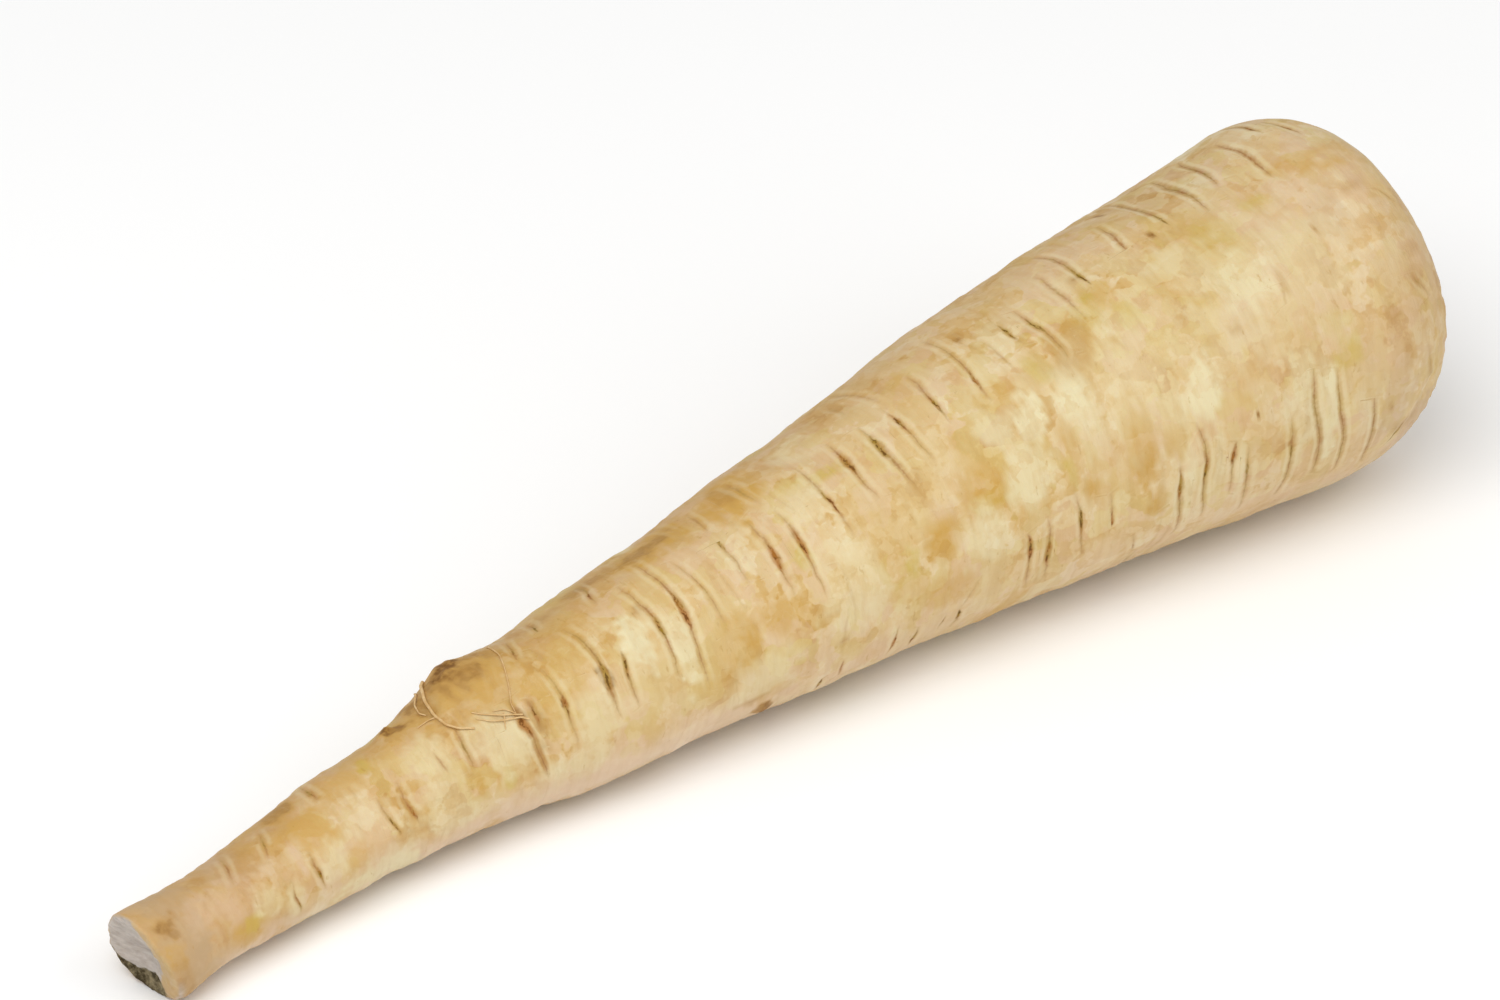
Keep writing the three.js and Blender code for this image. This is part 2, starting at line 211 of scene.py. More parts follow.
# Patches of colour on the side that shows, by kind: distance, clock angle, half length along the root,
# half width round it, strength. Those on the side that lies away are drawn at random with a fixed seed.
PATCHES = {
    "ochre": [
        (2, 152, 1.6, 2.6, 0.6), (15, 170, 3.4, 2.2, 0.8), (23, 158, 4, 1.4, 0.4), (24, 92, 5, 3, 0.5),
        (30, 66, 4, 3, 0.6), (32, 112, 4.4, 5, 0.75), (36, 163, 3, 2, 0.5), (40, 88, 6, 4, 0.6),
        (44.5, 88, 1.6, 2, 0.9), (49.5, 162, 1.4, 2, 0.7), (52, 71, 3, 3, 0.8), (53, 82, 8, 5, 0.5),
        (57.5, 70, 2, 5, 0.6), (59, 165, 1.4, 2.5, 0.7), (63.5, 161, 3.6, 2.4, 0.8), (65, 88, 8, 9, 0.8),
        (65, 96, 5, 7, 0.8), (67, 112, 3.5, 5, 0.6), (67.5, 86, 3.4, 3, 0.7), (72, 118, 4, 7, 0.5),
        (79, 112, 6, 7, 0.55), (86, 85, 5, 3, 0.5), (89, 181, 2, 3, 0.35), (90, 135, 9, 9, 0.5),
        (91, 161, 2, 3, 0.35), (96, 108, 3, 5, 0.3), (101, 175, 3, 3, 0.4), (103, 70, 7, 4, 1),
        (105, 159, 5, 6, 0.85), (110, 197, 3, 3, 0.5), (113, 154, 5, 3, 0.55), (118, 79, 5.5, 5.5, 0.95),
        (133, 144, 3, 5, 0.3), (134, 135, 5, 4, 0.4), (137, 120, 8, 8, 0.3), (142, 182, 5, 4, 0.5),
        (142.5, 157, 3.4, 4, 1.1), (149, 88, 4, 4, 0.45), (151.5, 146, 5, 5, 1.1), (163, 119, 6, 4, 0.55),
        (167, 144, 1.8, 4, 0.8), (169, 167, 1.8, 2, 0.9), (173, 118, 7, 6, 0.35), (173, 163, 7, 6, 0.3),
        (175, 114, 6, 5, 1.1), (178.5, 160, 3, 8, 1.1), (180.5, 186, 2, 3, 0.8), (184, 102, 3, 3, 0.7),
        (184, 164, 2.2, 2.4, 1), (187, 61, 5, 4, 0.4), (198, 156, 4, 4, 0.5), (199, 165, 0.7, 0.9, 0.8),
        (202, 188, 0.9, 1.1, 0.8), (205, 105, 6, 8, 0.35), (209, 142, 5, 5, 0.35),
        (209, 162, 1.6, 5, 0.4), (215, 101, 3, 3, 0.4), (221, 82, 6, 5, 0.35), (223, 94, 2.6, 1.5, 0.7),
        (226, 97, 6, 1.4, 0.5), (226, 99, 2.6, 1.5, 0.7), (229.5, 103, 2.6, 1.5, 0.7),
        (234, 119, 4, 2, 0.35),
    ],
    "pale": [
        (19.5, 152, 3, 2.4, 0.6), (24.5, 166, 2, 3, 0.5), (31, 208, 6, 3, 0.4), (32.5, 153, 2.4, 3, 0.6),
        (39, 128, 4, 3, 0.35), (42, 203, 8, 4, 0.8), (53, 121, 4, 4, 0.5), (53, 150, 5, 4, 0.5),
        (53, 174, 7, 4, 0.6), (60, 132, 1.8, 3, 0.5), (65, 144, 5, 5, 0.7), (66, 138, 3, 3.4, 0.6),
        (76, 183, 6, 3, 0.6), (80, 162, 4, 5, 0.5), (82, 157, 3, 6, 0.5), (90, 126, 3, 6, 1),
        (92, 150, 14, 6, 0.3), (96.5, 139, 2, 8, 0.9), (109, 180, 6, 5, 0.5), (124, 108, 5, 5, 0.45),
        (126, 157, 6, 8, 0.5), (132, 75, 5, 4, 0.5), (140, 132, 16, 8, 0.25), (149, 164, 5, 5, 0.7),
        (157.5, 127, 4.5, 4, 0.7), (158.5, 150, 5, 5, 0.8), (162.5, 130, 3.5, 4, 1),
        (168, 91, 6, 4, 0.45), (170.5, 131, 4, 4, 1), (171, 137, 4, 4, 0.7), (171.5, 122, 3, 2.6, 0.7),
        (183, 89, 5, 2.5, 0.5), (185, 182, 4, 6, 0.4), (186, 136, 26, 13, 0.4), (186.4, 179, 1.1, 8, 0.7),
        (190, 152, 3.5, 6, 0.95), (191.4, 182, 1.2, 9, 0.5), (192, 95, 4, 4, 0.35),
        (195, 135, 10, 8, 0.4), (195.6, 184, 0.8, 7, 0.6), (198, 112, 6, 7, 0.5), (205, 122, 6, 6, 0.8),
        (208, 168, 5, 8, 0.7), (212, 76, 2.5, 4, 0.6), (212, 128, 12, 12, 0.4), (212, 180, 1.5, 12, 0.95),
    ],
    "rose": [
        (10, 121, 4, 3, 0.6), (14, 135, 4.5, 5, 0.75), (14, 192, 8, 4, 0.5), (19.5, 195, 3, 2.6, 0.7),
        (21, 110, 3, 3, 0.5), (27, 130, 0.8, 3, 0.9), (42, 186, 4, 3, 0.5), (48, 205, 12, 4, 0.7),
        (68, 205, 12, 4, 0.7), (84, 214, 12, 5, 0.6), (106, 208, 12, 5, 0.5), (135, 207, 16, 5, 0.5),
        (143.5, 147, 2.4, 2.6, 0.8), (176, 226, 12, 5, 0.6), (199, 137, 5, 4, 0.7), (202, 130, 4, 4, 0.6),
        (211, 217, 10, 5, 0.6), (216, 130, 22, 34, 0.35), (231, 215, 7, 8, 0.7), (233, 111, 5, 5, 0.5),
        (238, 130, 8, 26, 0.4), (240, 51, 5, 6, 0.5),
    ],
    # Painted shade: grey-tan patches where less light falls, at the tip and round the shoulder at the crown
    # end
    "shade": [
        (1.5, 184, 4, 4, 0.9), (4, 150, 5, 9, 1), (5, 92, 5, 6, 0.8), (5, 190, 7, 6, 0.8),
        (16, 82, 4, 4, 0.6), (23, 196, 4, 3, 0.4), (26, 72, 4, 3, 0.5), (65, 114, 6, 6, 0.5),
        (222, 170, 5, 12, 0.2), (223, 118, 4, 5, 0.4), (225, 184, 4, 10, 0.5), (229, 100, 6, 8, 0.3),
        (229, 163, 6, 10, 0.4), (230, 144, 6, 10, 0.4), (234, 100, 6, 9, 0.25), (234, 206, 6, 7, 0.6),
        (236, 140, 8, 14, 0.35),
    ],
    "green": [
        (16, 166, 2.5, 1.6, 0.6), (44.5, 90, 1.2, 1.6, 1), (64, 168, 1, 2, 0.7),
        (120.5, 130, 1.6, 2.6, 0.8), (125.5, 97, 3, 1.2, 0.6), (131.5, 102, 3, 1.4, 0.8),
        (136.5, 160, 1.4, 2, 0.8), (152, 152, 5, 1.2, 0.5), (166, 155, 1.2, 3, 0.7),
        (168.5, 116, 2.5, 3, 0.7), (180, 108, 3, 3, 0.4), (182, 101, 1.4, 1.6, 0.9),
        (185, 113, 2.5, 3, 0.6), (192, 158, 3, 2, 0.3), (205, 108, 5, 6, 0.5), (208, 108, 1.4, 1.6, 0.5),
        (215, 100, 2, 1.6, 0.7), (215.5, 148, 3, 3, 0.5), (215.5, 160.5, 3, 3, 0.6),
    ],
    "brown": [
        (2, 196, 1.6, 5, 0.4), (3, 116, 2.6, 2.6, 0.6), (12, 82, 2, 1.4, 0.35),
        (20.5, 100, 2.6, 2.4, 0.35), (30, 61, 3.6, 2.6, 0.5), (35.5, 76, 1.6, 2, 0.45),
        (51.4, 70, 1.1, 1.8, 0.9), (53, 75, 1.6, 1.2, 0.7), (58, 147, 1, 1.4, 0.4),
        (58.5, 70, 2.4, 5, 0.6), (61, 64, 1.4, 4, 0.5), (61.6, 80, 0.9, 4, 0.5),
        (62.9, 68, 1.6, 2.2, 0.9), (64.2, 76, 1.1, 2.6, 0.6), (64.2, 86, 1.2, 2.6, 0.5),
        (64.8, 66, 1.8, 2.4, 1), (66, 63, 1.6, 1.6, 0.9), (66, 77, 2.4, 3.6, 0.3), (66, 82, 3, 2.4, 0.55),
        (68.5, 131, 1.1, 2, 0.8), (68.8, 137, 0.8, 2.2, 0.6), (69, 70, 3, 1.6, 0.5),
        (69.6, 160, 0.7, 3.4, 0.45), (70.5, 140, 1.6, 5, 0.5), (72, 78, 2.6, 1.2, 0.4),
        (75.5, 139, 0.6, 0.8, 0.9), (83, 64, 4, 1.6, 0.4), (83.2, 137, 1.3, 2.8, 0.9),
        (87, 95, 0.6, 0.6, 1), (93, 63, 6, 2.2, 0.45), (93, 110, 1.2, 1.2, 0.5),
        (102.5, 70, 5, 2.2, 0.55), (107.3, 198, 3, 1, 0.4), (110.3, 211, 2.6, 1.6, 0.7),
        (117, 75, 2.6, 3, 0.4), (121, 120, 0.8, 1.4, 0.7), (123, 183, 1.6, 0.5, 0.4),
        (127, 185, 1.2, 0.5, 0.3), (163, 83, 0.9, 0.8, 0.8), (174.5, 114, 5.5, 4.5, 0.34),
        (180, 168, 3, 6, 0.15), (184, 90, 1.6, 1.2, 0.5), (198.5, 91, 0.8, 0.8, 0.8),
        (198.5, 167, 0.4, 0.4, 0.7), (199, 136, 1.6, 0.8, 0.3), (199.5, 58, 0.9, 0.9, 0.7),
        (209.5, 130, 0.6, 2.6, 0.35), (219.5, 121, 0.5, 0.6, 0.6), (223.5, 187, 0.9, 0.9, 0.6),
        (225.5, 156, 1.3, 1.3, 0.4), (227, 170, 1.2, 3, 0.3), (228, 112, 3, 1, 0.35),
        (228, 202, 3.5, 3, 0.4), (232.5, 184, 0.9, 2.5, 0.4), (233, 140, 2.4, 0.7, 0.3),
        (233, 150, 2.6, 1.1, 0.35),
    ],
}
AWAY_PATCH_SEED = 5
AWAY_PATCHES = 150

# Scabs and stubs: distance, clock angle, height, half length along the root, half width round it
BUMPS = [
    (65.2, 58, 0.7, 2.2, 2.6),
    (63.6, 74, 0.35, 1.6, 3.2),
    (51.8, 66, 0.8, 1.5, 1.8),
    (51.2, 82, 0.3, 1.2, 1.4),
    (3.5, 220, 0.7, 3.5, 4.5),
    (232, 198, -1.0, 5, 8),
    (239, 166, -0.5, 6, 14),
    (110.3, 212, 0.5, 1.8, 1.4),
    (107.2, 203, 0.3, 1.4, 1.2),
    (87, 95, 0.15, 0.5, 0.5),
    (76, 300, 0.7, 2.0, 2.4),
    (132, 352, 0.5, 1.8, 2.0),
    (176, 318, 0.4, 2.2, 1.6),
    (41, 20, 0.5, 1.6, 1.6),
]

# The cut tip. Its dark, broken edge runs between two clock angles, widest at ROT_WIDEST. The skin wraps
# over the face's edge towards WRAP_SIDE, and is worn off the edge at BARE_SIDE.
ROT_FROM = 246
ROT_TO = 352
ROT_WIDEST = 274
ROT_NARROW_SHARE = 0.86
ROT_WIDE_SHARE = 0.44
ROT_DEPTH = 0.5
WRAP_SIDE = 180
WRAP_SHARE = 0.48
BARE_SIDE = 232
LIP_SIDE = 325
LIP_HEIGHT = 1.0

# How deep a crease cuts and how wide it is, in millimetres, for its line and for its tear, and how far the
# skin folds beside it
LINE_DEPTH = 0.11
TEAR_DEPTH = 0.14
LINE_WIDTH = 0.42
TEAR_WIDTH = 0.18
FOLD_DEPTH = 0.165
NO_CREASE = 9.0

# Fineness of the skin
ROUND = 108
FLANK_STEP = 0.31
SHOULDER_LOOPS = 5
SHOULDER_CUTS = 7
CROWN_CUTS = 3
CUT_FACE_CUTS = 3

# Rootlets at the knob: thickness, then distance and clock angle of the points they pass through
ROOTLETS = [
    (0.62, [(62.4, 52), (61.2, 58), (59, 76), (58, 93), (58.2, 106), (59.6, 115), (61.4, 121)]),
    (0.4, [(60.4, 52), (60, 58), (58, 68), (57, 80), (57.4, 86)]),
    (0.26, [(58, 94), (57, 92), (55, 91)]),
    (0.36, [(69.4, 136), (68.5, 132), (66, 128), (64, 123), (62.4, 116)]),
    (0.36, [(68.8, 131), (68, 129), (66, 124), (63.5, 116), (62.3, 110)]),
    (0.24, [(68, 128), (66.6, 121), (65, 118)]),
    (0.24, [(66.4, 123), (65.9, 128), (65.5, 134)]),
    (0.26, [(73, 62), (72.5, 69), (72, 83), (70.5, 97), (69, 111), (68, 120), (68, 128)]),
]
ROOTLET_STEPS = 3

# Colours are given from 0 to 255, as they look under the studio lights. LIT is how bright a white surface
# looks from above under those lights.
LIT = 0.852
CREAM = [
    (0.33, (198, 154, 82)),
    (0.41, (212, 174, 106)),
    (0.47, (220, 187, 128)),
    (0.53, (225, 196, 143)),
    (0.60, (229, 205, 158)),
    (0.70, (235, 218, 178)),
]
ROSY_SKIN = (220, 184, 144)
GREENISH_SKIN = (217, 193, 118)
STREAK = (190, 148, 84)
FLECK = (184, 140, 62)

# Kind of patch, how much of it covers the skin under it, and its colour
PATCH_TINTS = [
    # Orange tan skin, darkened in part by painted shadow along the upper far side and at the tip
    ("tan_and_shadow", 0.72, (198, 154, 98)),
    # Pale pink skin, lightened in part by painted bounce light low on the side that shows
    ("pink_and_bounce_light", 0.95, (238, 214, 186)),
    # Painted shade
    ("shade", 0.85, (194, 163, 122)),
    ("rose", 0.75, (220, 188, 154)),
    ("ochre", 1.0, (206, 162, 80)),
    ("green", 0.9, (204, 176, 78)),
    ("pale", 1.0, (234, 220, 176)),
    ("brown", 1.3, (184, 138, 68)),
]
DARK_MIDDLE = (120, 76, 14)
WASHES = ("tan_and_shadow", "pink_and_bounce_light", "shade")

# Colours of a crease where it is olive, and where it is rusty
CREASE_GROOVE = ((184, 148, 78), (178, 132, 76))
CREASE_LINE = ((158, 124, 56), (160, 112, 60))
CREASE_HALO = ((176, 140, 50), (182, 122, 52))
CREASE_TORN = ((114, 82, 26), (122, 74, 22))
CREASE_FLECK = ((184, 150, 44), (190, 124, 46))
# Painted highlight on the raised lips beside each crease
CREASE_LIP_HIGHLIGHT = (234, 218, 174)

# Dark and light colour of each part of the two ends, and of the rootlets
CROWN_SKIN = ((120, 92, 56), (168, 136, 88))
STALK_STUB = ((104, 84, 46), (170, 150, 96))
CUT_FLESH = ((176, 163, 152), (210, 200, 190))
CUT_ROT = ((66, 54, 28), (150, 136, 104))
ROOTLET_SKIN = ((214, 172, 110), (232, 198, 142))

# Lights: name, place, side of the square, power in watts
LIGHTS = [
    ("key", (-0.55, -0.25, 1.05), 0.9, 9.0),
    ("fill", (0.5, -0.9, 0.8), 1.0, 4.2),
]
SKY_STRENGTH = 0.53
FLOOR_SIZE = 6
FLOOR_DROP = 0.0001
FLOOR_COLOUR = (0.96, 0.96, 0.955, 1)

# The camera looks down on the root from the side of its tip.
CAMERA_AZIMUTH = -39.3
CAMERA_ELEVATION = 35.0
CAMERA_DISTANCE = 1.4
CAMERA_TARGET = (0.0182, 0.0268, 0.0141)
VIEW_WIDTH = 0.2365
SENSOR_WIDTH = 36


# Small helpers
def radians(degrees):
    return np.asarray(degrees) * (math.pi / 180)


def smoothstep(value, low, high):
    t = np.clip((np.asarray(value, float) - low) / (high - low), 0, 1)
    return t * t * (3 - 2 * t)


def clock_gap(a, b):
    """Degrees between clock angles, signed: positive where a lies past b."""
    return (np.asarray(a) - b + 180) % 360 - 180


def eased(table, place):
    """The columns of table after the first, at each place in the first, on a smooth curve."""
    table = np.asarray(table, float)
    knots, columns = table[:, 0], table[:, 1:]
    slopes = np.diff(columns, axis=0) / np.diff(knots)[:, None]
    tangents = np.vstack([slopes[:1], (slopes[1:] + slopes[:-1]) / 2, slopes[-1:]])
    place = np.clip(place, knots[0], knots[-1])
    row = np.clip(np.searchsorted(knots, place) - 1, 0, len(knots) - 2)
    width = (knots[row + 1] - knots[row])[:, None]
    t = (place - knots[row])[:, None] / width
    left, right = columns[row], columns[row + 1]
    bend = (1 - t) * t * ((1 - t) * (width * tangents[row] - (right - left))
                          + t * ((right - left) - width * tangents[row + 1]))
    return ((1 - t) * left + t * right + bend).T


def grain(points, size, seed=0.0, stretch=(1, 1, 1)):
    """Smooth noise from about -1 to 1 at each point, with features of the given size in millimetres."""
    scaled = points * (np.asarray(stretch) / size) + seed
    return np.array([noise.noise(Vector(p)) for p in scaled]) * 1.6


def select_none():
    bpy.ops.object.select_all(action="DESELECT")


# The root's large form
def placed(x, s, radius, clock):
    """Millimetre points at a radius and clock angle round the centre line at distance s."""
    base, bow, rise = eased(STATIONS, s)
    turn = radians(clock)
    z = base + rise + radius * np.sin(turn) - BEDDING
    return np.stack([x - MIDDLE_X, bow + radius * np.cos(turn) - MIDDLE_Y, np.maximum(z, 0)], -1)


def swell_height(s, clock):
    height = np.zeros_like(s)
    for at, middle, rise, length, spread in SWELLS:
        height += rise * np.exp(-((s - at) / length) ** 2 - (clock_gap(clock, middle) / spread) ** 2)
    return height


def wave_share(s, clock):
    share = np.zeros_like(s)
    for rise, wavelength, lobes, phase in WAVES:
        share += rise * np.sin(2 * math.pi * s / wavelength + phase) * np.cos(lobes * radians(clock) + phase)
    return share


def flank_radius(s, clock):
    return eased(STATIONS, s)[0] * (1 + wave_share(s, clock)) + swell_height(s, clock)


def cut_shift(s, clock, radius_share):
    """How far the askew cut moves the root's end along it."""
    fade = np.maximum(0, 1 - s / CUT_FADE) ** 2
    lean = CUT_SLANT / 2 * radius_share * np.cos(radians(clock - CUT_LONG_SIDE))
    return (CUT_MIDDLE - lean) * fade


def rim_wave(clock):
    turn = radians(clock)
    return RIM_WAVE * (0.6 * np.cos(2 * turn + 0.5) + 0.4 * np.cos(3 * turn + 2))


def lobe_wave(radius, clock):
    """The scallops that the cut leaf-stalks make in the crown's two tiers."""
    outer = radius > TIER_EDGE
    count = np.where(outer, OUTER_BASES, INNER_BASES)
    return np.cos(count * radians(clock) + np.where(outer, 0.8, 0))


# Creases
def away_creases():
    draw = random.Random(AWAY_SEED)
    rows = []
    for turn in range(AWAY_CREASES):
        at = AWAY_START + (turn + draw.uniform(-0.35, 0.35)) * (AWAY_END - AWAY_START) / AWAY_CREASES
        middle = AWAY_FROM + AWAY_MARGIN + draw.random() * (AWAY_SWEEP - 2 * AWAY_MARGIN)
        half = draw.uniform(9, 30)
        lean = draw.uniform(-1.2, 1.2)
        torn = middle + draw.uniform(-0.5, 0.5) * half
        rows.append((at - lean, at + lean, middle - half, middle + half,
                     draw.uniform(0.5, 1.0), torn, draw.choice((0.1, 0.2, 0.4, 0.7, 0.9))))
    return rows


def faint_creases():
    draw = random.Random(FAINT_SEED)
    rows = []
    for _ in range(FAINT_CREASES):
        at = draw.uniform(8, 232)
        middle = draw.uniform(0, 360)
        half = draw.uniform(5, 22)
        lean = draw.uniform(-0.9, 0.9)
        smooth_side = 104 < middle < 166 and at > 140
        strength = draw.uniform(0.12, 0.34) * (0.3 if smooth_side else 1)
        rows.append((at - lean, at + lean, middle - half, middle + half, strength, middle, 0))
    return rows


def crease_relief(size, line, tear, uneven):
    """How deep a crease cuts, and how deep the skin dips round it between raised lips."""
    width = LINE_WIDTH + TEAR_WIDTH * tear
    cut = (LINE_DEPTH * line + TEAR_DEPTH * tear * uneven) * np.exp(-(size / width) ** 2)
    fold = FOLD_DEPTH * line
    dip = fold * (np.exp(-(size / 2.2) ** 2) - 0.55 * np.exp(-((size - 1.4) / 0.8) ** 2))
    return cut, dip


def crease_fields(s, clock, radius, points):
    """What the creases do at each point of the skin.

    Returns the relief they make, the signed distance to the nearest one along the root, its strength,
    and the strength of its tear. Halfway between two creases both strengths fade to nothing.
    """
    count = len(s)
    nearest = np.full(count, NO_CREASE)
    second = np.full(count, NO_CREASE)
    across = np.full(count, NO_CREASE)
    line, tear, cut, dip = (np.zeros(count) for _ in range(4))
    wander = 0.55 * grain(points, 9, 3.1) + 0.16 * grain(points, 2.6, 8.4) + 0.07 * grain(points, 1.1, 5.2)
    uneven = np.clip(0.8 + 0.8 * grain(points, 1.3, 0.7), 0.1, 1.6)
    for s_from, s_to, from_, to, strength, torn_at, torn in CREASES + away_creases() + faint_creases():
        middle, half = (from_ + to) / 2, (to - from_) / 2
        gap = clock_gap(clock, middle)
        reach = 4 + abs(s_to - s_from) / 2
        near = np.flatnonzero((np.abs(gap) < half) & (np.abs(s - (s_from + s_to) / 2) < reach))
        if not len(near):
            continue
        share = gap[near] / half
        distance = s[near] - (s_from + s_to) / 2 - (s_to - s_from) / 2 * share - wander[near]
        size = np.abs(distance)
        along = radians(clock_gap(clock[near], torn_at)) * radius[near]
        half_length = radians(half) * radius[near]
        here_tear = torn * np.exp(-(along / (1.25 + 0.09 * half_length)) ** 2)
        here_line = strength * (1 - share ** 2) ** 0.7
        here_cut, here_dip = crease_relief(size, here_line, here_tear, uneven[near])
        cut[near] = np.maximum(cut[near], here_cut)
        dip[near] += here_dip
        score = size + 1.2 * (1 - np.minimum(1, here_line))
        better = score < nearest[near]
        second[near] = np.where(better, nearest[near], np.minimum(second[near], score))
        nearest[near] = np.where(better, score, nearest[near])
        across[near] = np.where(better, distance, across[near])
        line[near] = np.where(better, here_line, line[near])
        tear[near] = np.where(better, here_tear, tear[near])
    window = smoothstep(second - nearest, 0.25, 0.8)
    return -cut - dip, across, line * window, tear * window


# Patches of colour, and scabs
def away_patches():
    draw = random.Random(AWAY_PATCH_SEED)
    rows = []
    for _ in range(AWAY_PATCHES):
        kind = draw.choice(("ochre", "ochre", "ochre", "pale", "pale", "rose", "green"))
        rows.append((kind, draw.uniform(4, 232), draw.uniform(AWAY_FROM, AWAY_FROM + AWAY_SWEEP),
                     draw.uniform(1.8, 6), draw.uniform(2, 7), draw.uniform(0.2, 0.65)))
    return rows


def patch_masks(s, clock, radius, points):
    """One mask for each kind of colour patch, from 0 to its strength, with edges that wander."""
    masks = {kind: np.zeros_like(s) for kind in PATCHES}
    warp = 0.30 * grain(points, 5, 1.7) + 0.28 * grain(points, 1.8, 6.3) + 0.18 * grain(points, 0.9, 4.9)
    rows = [(kind, *row) for kind, table in PATCHES.items() for row in table] + away_patches()
    for kind, at, middle, half_length, half_width, strength in rows:
        along = (s - at) / half_length
        near = np.flatnonzero(np.abs(along) < 2)
        around = radians(clock_gap(clock[near], middle)) * radius[near] / half_width
        distance = np.hypot(along[near], around) + warp[near]
        mask = strength * (1 - smoothstep(distance, 0.55, 1.25))
        masks[kind][near] = np.maximum(masks[kind][near], mask)
    return masks


def tan_and_shadow_share(s, clock):
    """How far the skin turns orange tan, partly tan skin and partly painted shadow: all round at the tip, and
    in a band along the upper far side.
    """
    at_tip = 0.74 * (1 - smoothstep(s, 6, 42)) + 0.2 * (1 - smoothstep(s, 40, 110))
    band = 0.8 * np.exp(-(clock_gap(clock, 62) / 30) ** 2) * (1 - 0.6 * smoothstep(s, 100, 190))
    return np.clip(at_tip + band * (1 - smoothstep(s, 195, 225)), 0, 1)


def pink_and_bounce_light(s, clock):
    """How far the skin turns pale pink, partly pink skin and partly painted bounce light that lightens the
    underside: along the thin half, low on the side that shows.
    """
    low_side = np.exp(-(clock_gap(clock, 212) / 24) ** 2)
    return low_side * smoothstep(s, 4, 16) * (1 - 0.7 * smoothstep(s, 90, 130))


def bump_height(s, clock, radius, points):
    """Small scabs and stubs of side roots that stand up from the skin."""
    height = np.zeros_like(s)
    rough = 0.5 * grain(points, 1.6, 2.9)
    for at, middle, rise, half_length, half_width in BUMPS:
        along = (s - at) / half_length
        around = radians(clock_gap(clock, middle)) * radius / half_width
        height += rise * (1 + rough) * np.exp(-along ** 2 - around ** 2)
    return height


# The cage, drawn by hand
def ring_loops():
    """Distance and radius of each loop, from the middle of the cut face to the middle of the crown, with the
    number of cuts that refine the skin before the next loop."""
    face = [(0, TIP_RADIUS * share, CUT_FACE_CUTS) for share, _ in CUT_FACE[1:]]
    face[-1] = (*face[-1][:2], 0)
    flank = [(0.5, TIP_RADIUS)] + [tuple(row[:2]) for row in STATIONS[1:]]
    body = []
    for (here, radius), (there, _) in zip(flank, flank[1:]):
        body.append((here, radius, round((there - here) / FLANK_STEP) - 1))
    shoulder = []
    for loop in range(SHOULDER_LOOPS + 1):
        turn = math.pi / 2 * loop / SHOULDER_LOOPS
        shoulder.append((SHOULDER_FROM + SHOULDER_DEPTH * math.sin(turn),
                         RIM_RADIUS + (WIDEST - RIM_RADIUS) * math.cos(turn), SHOULDER_CUTS))
    shoulder[-1] = (*shoulder[-1][:2], CROWN_CUTS)
    crown = [(LENGTH - drop, radius, CROWN_CUTS) for radius, drop, _ in reversed(CROWN[1:-1])]
    return face + body + shoulder + crown


def extrude_loop(offset, scale, centre):
    bpy.ops.mesh.extrude_region_move(TRANSFORM_OT_translate={"value": (offset, 0, 0)})
    bpy.ops.transform.resize(value=(1, scale, scale), center_override=centre)


def drawn_root(loops):
    """The root's cage: a circle extruded and scaled from loop to loop."""
    select_none()
    start, radius, _ = loops[0]
    bpy.ops.mesh.primitive_circle_add(vertices=ROUND, radius=radius * MM, fill_type="NOTHING",
                                      location=(start * MM, 0, 0), rotation=(0, math.pi / 2, 0))
    root = bpy.context.object
    root.name = "parsnip_skin"
    bpy.ops.object.transform_apply(location=True, rotation=True, scale=True)
    bpy.ops.object.mode_set(mode="EDIT")
    bpy.ops.mesh.select_mode(type="EDGE")
    bpy.ops.mesh.select_all(action="SELECT")
    for (here, wide, _), (there, next_wide, _) in zip(loops, loops[1:]):
        extrude_loop((there - here) * MM, next_wide / wide, (there * MM, 0, 0))
    return root


def select_between(root, low, high):
    """Selects the lengthwise edges that join loop low to loop high, by the order they were drawn in."""
    bpy.ops.mesh.select_all(action="DESELECT")
    bpy.ops.object.mode_set(mode="OBJECT")
    for edge in root.data.edges:
        a, b = edge.vertices
        edge.select = {a // ROUND, b // ROUND} == {low, high}
    bpy.ops.object.mode_set(mode="EDIT")


def refine(root, loops):
    """Cuts the skin between the loops until it is fine enough to carry the creases."""
    for low in range(len(loops) - 2, -1, -1):
        cuts = loops[low][2]
        if cuts > 0:
            select_between(root, low, low + 1)
            bpy.ops.mesh.subdivide(number_cuts=cuts, quadcorner="INNERVERT", ngon=False)
    bpy.ops.object.mode_set(mode="OBJECT")


def open_edges(mesh):
    """The numbers of the edges that only one face uses."""
    use = np.zeros(len(mesh.edges), int)
    for loop in mesh.loops:
        use[loop.edge_index] += 1
    return set(np.flatnonzero(use == 1).tolist())


def close_end(root, x, radius):
    """Extrudes the open loop at one end to a point."""
    mesh = root.data
    at_border = open_edges(mesh)
    for vertex in mesh.vertices:
        vertex.select = False
    for edge in mesh.edges:
        a, b = (mesh.vertices[i].co for i in edge.vertices)
        along = abs((a.x + b.x) / 2 - x * MM)
        out = abs(math.hypot(a.y, a.z) - radius * MM)
        edge.select = edge.index in at_border and bool(max(along, out) < 0.05 * MM)
    bpy.ops.object.mode_set(mode="EDIT")
    bpy.ops.mesh.extrude_region_move(TRANSFORM_OT_translate={"value": (0, 0, 0)})
    bpy.ops.mesh.merge(type="CENTER")
    bpy.ops.object.mode_set(mode="OBJECT")


